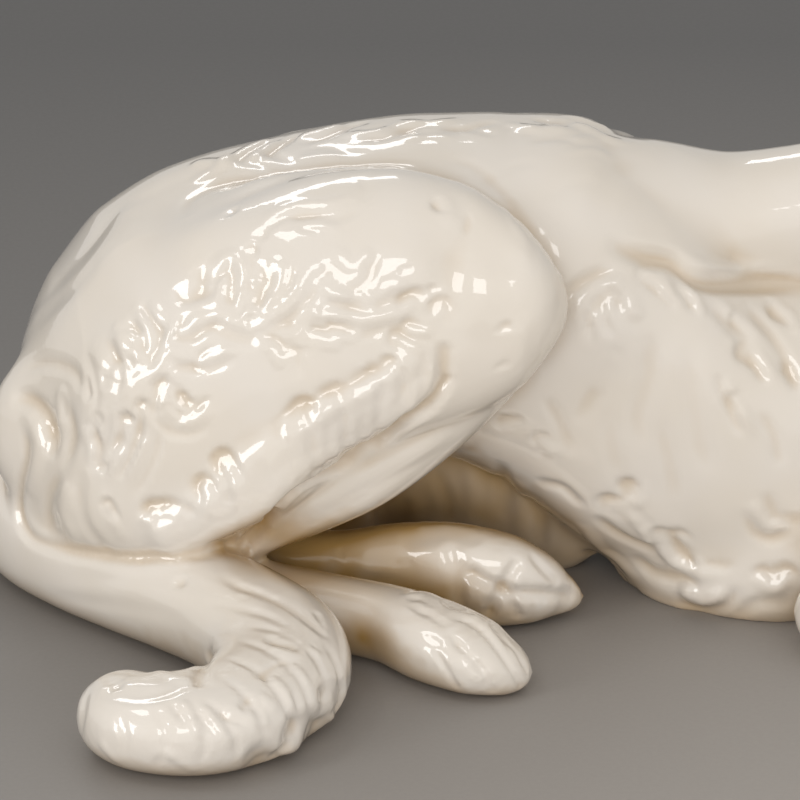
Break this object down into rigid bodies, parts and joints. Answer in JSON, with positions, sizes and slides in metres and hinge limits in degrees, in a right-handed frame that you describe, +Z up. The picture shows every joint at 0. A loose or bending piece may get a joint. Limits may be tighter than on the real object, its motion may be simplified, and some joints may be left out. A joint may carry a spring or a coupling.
{
  "type": "porcelain dog figurine",
  "caption": "Lying borzoi in glazed porcelain, a free-standing ornament of hollow castings luted together, with its tail curled beside its hind feet.",
  "frame": {"origin": "middle of the footprint, on the surface that the figurine rests on", "axes": "+X from the rump to the nose, +Y to the dog's left, +Z up"},
  "size_m": [0.3028, 0.163, 0.1137],
  "materials": {
    "glazed_porcelain": "gloss"
  },
  "bodies": {
    "root": {"torso_shell": "glazed_porcelain", "neck_shell": "glazed_porcelain", "head_shell": "glazed_porcelain", "right_ear": "glazed_porcelain", "left_ear": "glazed_porcelain", "right_thigh_shell": "glazed_porcelain", "right_shank": "glazed_porcelain", "right_hind_foot": "glazed_porcelain", "left_thigh_shell": "glazed_porcelain", "left_shank": "glazed_porcelain", "left_hind_foot": "glazed_porcelain", "tail_root": "glazed_porcelain", "tail_plume": "glazed_porcelain", "right_upper_arm": "glazed_porcelain", "right_foreleg": "glazed_porcelain", "left_upper_arm": "glazed_porcelain", "left_foreleg": "glazed_porcelain"}
  },
  "joints": []
}
